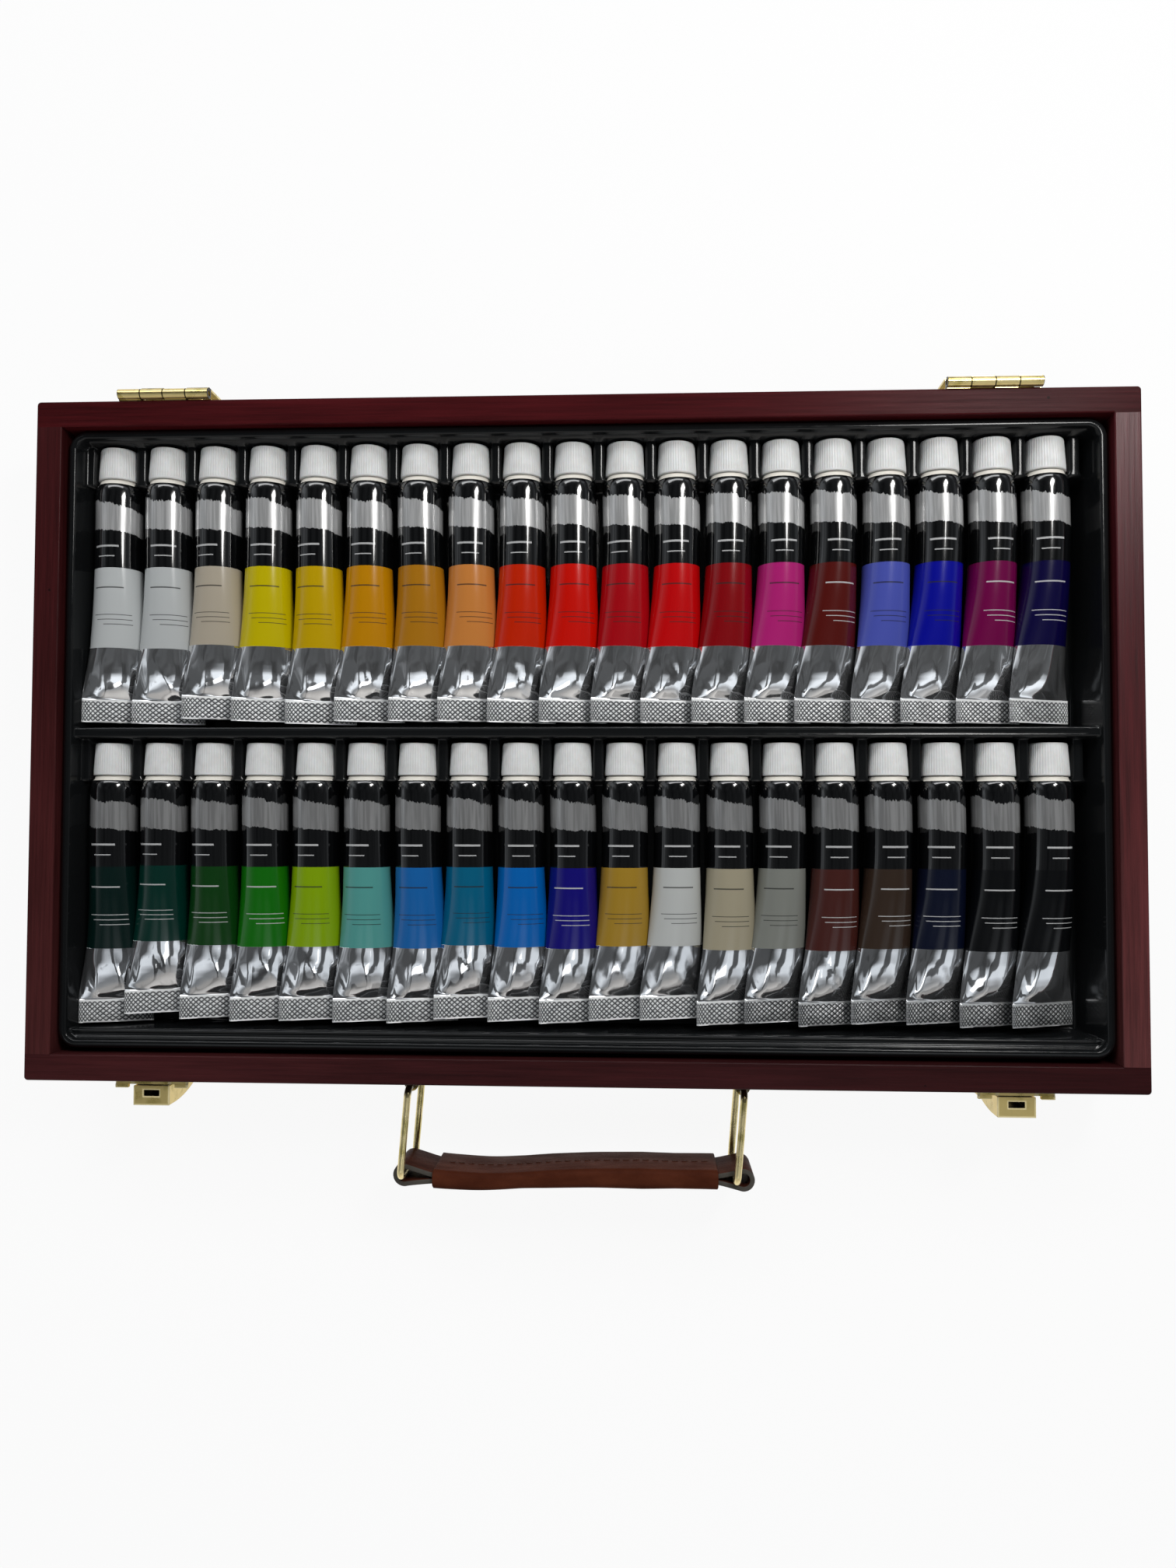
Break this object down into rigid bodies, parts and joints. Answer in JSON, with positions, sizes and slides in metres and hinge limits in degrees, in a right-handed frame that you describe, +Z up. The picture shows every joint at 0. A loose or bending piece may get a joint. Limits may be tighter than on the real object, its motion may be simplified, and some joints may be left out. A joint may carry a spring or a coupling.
{
  "type": "paint box",
  "caption": "Open wooden paint box base with a formed tray of paint tubes in two rows, hinges, latches and a leather carrying handle.",
  "frame": {"origin": "centre of the wooden base's underside", "axes": "+X along the box to the right, +Y towards the hinges at the back, +Z up, out of the open top"},
  "size_m": [0.402, 0.2935, 0.0419],
  "materials": {
    "stained_wood": "satin mahogany stain",
    "base_plywood": "stained plywood",
    "tray_plastic": "glossy formed sheet",
    "brass": "pressed and polished",
    "handle_brass": "polished wire and strip",
    "strap_leather": "smooth, with a bare cut edge",
    "sheath_leather": "smooth, sewn",
    "cap_plastic": "moulded, finely ribbed",
    "lacquer_white": "lacquered foil tube",
    "lacquer_zinc_white": "lacquered foil tube",
    "lacquer_milky_beige": "lacquered foil tube",
    "lacquer_lemon_yellow": "lacquered foil tube",
    "lacquer_medium_yellow": "lacquered foil tube",
    "lacquer_deep_yellow": "lacquered foil tube",
    "lacquer_ochre": "lacquered foil tube",
    "lacquer_coral": "lacquered foil tube",
    "lacquer_orange": "lacquered foil tube",
    "lacquer_vermilion": "lacquered foil tube",
    "lacquer_rose_red": "lacquered foil tube",
    "lacquer_scarlet": "lacquered foil tube",
    "lacquer_crimson": "lacquered foil tube",
    "lacquer_magenta": "lacquered foil tube",
    "lacquer_burnt_sienna": "lacquered foil tube",
    "lacquer_blue_violet": "lacquered foil tube",
    "lacquer_ultramarine": "lacquered foil tube",
    "lacquer_purple": "lacquered foil tube",
    "lacquer_dark_violet": "lacquered foil tube",
    "lacquer_dark_teal": "lacquered foil tube",
    "lacquer_turquoise_green": "lacquered foil tube",
    "lacquer_grass_green": "lacquered foil tube",
    "lacquer_light_green": "lacquered foil tube",
    "lacquer_olive_lime": "lacquered foil tube",
    "lacquer_ocean_green": "lacquered foil tube",
    "lacquer_pale_blue": "lacquered foil tube",
    "lacquer_lake_blue": "lacquered foil tube",
    "lacquer_sky_blue": "lacquered foil tube",
    "lacquer_deep_blue": "lacquered foil tube",
    "lacquer_gold": "lacquered foil tube",
    "lacquer_silver": "lacquered foil tube",
    "lacquer_warm_grey": "lacquered foil tube",
    "lacquer_neutral_grey": "lacquered foil tube",
    "lacquer_burnt_umber": "lacquered foil tube",
    "lacquer_raw_umber": "lacquered foil tube",
    "lacquer_navy": "lacquered foil tube",
    "lacquer_black": "lacquered foil tube",
    "lacquer_lamp_black": "lacquered foil tube"
  },
  "bodies": {
    "box": {"front_board": "stained_wood", "back_board": "stained_wood", "left_board": "stained_wood", "right_board": "stained_wood", "base_panel": "base_plywood", "hinge_base_leaves": "brass", "hinge_pins": "brass", "latch_plates": "brass", "handle_brackets": "handle_brass", "wood_screws": "brass"},
    "tray": {"paint_tray": "tray_plastic", "tube_01_white": "lacquer_white", "tube_02_zinc_white": "lacquer_zinc_white", "tube_03_milky_beige": "lacquer_milky_beige", "tube_04_lemon_yellow": "lacquer_lemon_yellow", "tube_05_medium_yellow": "lacquer_medium_yellow", "tube_06_deep_yellow": "lacquer_deep_yellow", "tube_07_ochre": "lacquer_ochre", "tube_08_coral": "lacquer_coral", "tube_09_orange": "lacquer_orange", "tube_10_vermilion": "lacquer_vermilion", "tube_11_rose_red": "lacquer_rose_red", "tube_12_scarlet": "lacquer_scarlet", "tube_13_crimson": "lacquer_crimson", "tube_14_magenta": "lacquer_magenta", "tube_15_burnt_sienna": "lacquer_burnt_sienna", "tube_16_blue_violet": "lacquer_blue_violet", "tube_17_ultramarine": "lacquer_ultramarine", "tube_18_purple": "lacquer_purple", "tube_20_dark_teal": "lacquer_dark_teal", "tube_21_turquoise_green": "lacquer_turquoise_green", "tube_22_grass_green": "lacquer_grass_green", "tube_23_light_green": "lacquer_light_green", "tube_24_olive_lime": "lacquer_olive_lime", "tube_25_ocean_green": "lacquer_ocean_green", "tube_26_pale_blue": "lacquer_pale_blue", "tube_27_lake_blue": "lacquer_lake_blue", "tube_28_sky_blue": "lacquer_sky_blue", "tube_29_deep_blue": "lacquer_deep_blue", "tube_30_gold": "lacquer_gold", "tube_31_silver": "lacquer_silver", "tube_32_warm_grey": "lacquer_warm_grey", "tube_33_neutral_grey": "lacquer_neutral_grey", "tube_34_burnt_umber": "lacquer_burnt_umber", "tube_35_raw_umber": "lacquer_raw_umber", "tube_36_navy": "lacquer_navy", "tube_37_black": "lacquer_black", "tube_38_lamp_black": "lacquer_lamp_black", "back_row_caps": "cap_plastic", "front_row_caps": "cap_plastic"},
    "loose_tube": {"tube_19_dark_violet": "lacquer_dark_violet"},
    "loose_cap": {"dark_violet_cap": "cap_plastic"},
    "left_lid_leaf": {"hinge_left_lid_leaf": "brass"},
    "right_lid_leaf": {"hinge_right_lid_leaf": "brass"},
    "left_latch_lever": {"latch_left_lever": "brass"},
    "right_latch_lever": {"latch_right_lever": "brass"},
    "left_ring": {"handle_left_ring": "handle_brass"},
    "right_ring": {"handle_right_ring": "handle_brass"},
    "handle": {"handle_strap": "strap_leather", "handle_sheath": "sheath_leather"}
  },
  "joints": [
    {"name": "tray_lift", "type": "slide", "parent": "box", "child": "tray", "axis": [0, 0, 1], "range_m": [0, 0.06]},
    {"name": "tube_lift", "type": "slide", "parent": "tray", "child": "loose_tube", "axis": [0, 0, 1], "range_m": [0, 0.05]},
    {"name": "cap_turn", "type": "hinge", "parent": "loose_tube", "child": "loose_cap", "pos_m": [0.1717, 0.1101, 0.02635], "axis": [-0.007, 1, 0], "range_deg": [0, 720]},
    {"name": "left_leaf_swing", "type": "hinge", "parent": "box", "child": "left_lid_leaf", "pos_m": [-0.153, 0.12725, 0.04], "axis": [1, 0, 0], "range_deg": [0, 200]},
    {"name": "right_leaf_swing", "type": "hinge", "parent": "box", "child": "right_lid_leaf", "pos_m": [0.1496, 0.12725, 0.04], "axis": [1, 0, 0], "range_deg": [0, 200]},
    {"name": "left_latch_open", "type": "hinge", "parent": "box", "child": "left_latch_lever", "pos_m": [-0.1546, -0.1284, 0.0206], "axis": [1, 0, 0], "range_deg": [0, 20]},
    {"name": "right_latch_open", "type": "hinge", "parent": "box", "child": "right_latch_lever", "pos_m": [0.1554, -0.1284, 0.0206], "axis": [1, 0, 0], "range_deg": [0, 20]},
    {"name": "handle_swing", "type": "hinge", "parent": "box", "child": "left_ring", "pos_m": [-0.0612, -0.1278, 0.02], "axis": [0, 0, 1], "range_deg": [-65, 74]},
    {"name": "right_ring_swing", "type": "hinge", "parent": "box", "child": "right_ring", "pos_m": [0.0606, -0.1278, 0.02], "axis": [0, 0, 1], "range_deg": [-65, 74]},
    {"name": "strap_swing", "type": "hinge", "parent": "left_ring", "child": "handle", "pos_m": [-0.06378, -0.1599, 0.02], "axis": [0, 0, 1], "range_deg": [-75, 66]}
  ],
  "couplings": [
    {"joint": "right_ring_swing", "follows": "handle_swing", "ratio": 1},
    {"joint": "strap_swing", "follows": "handle_swing", "ratio": -1}
  ]
}
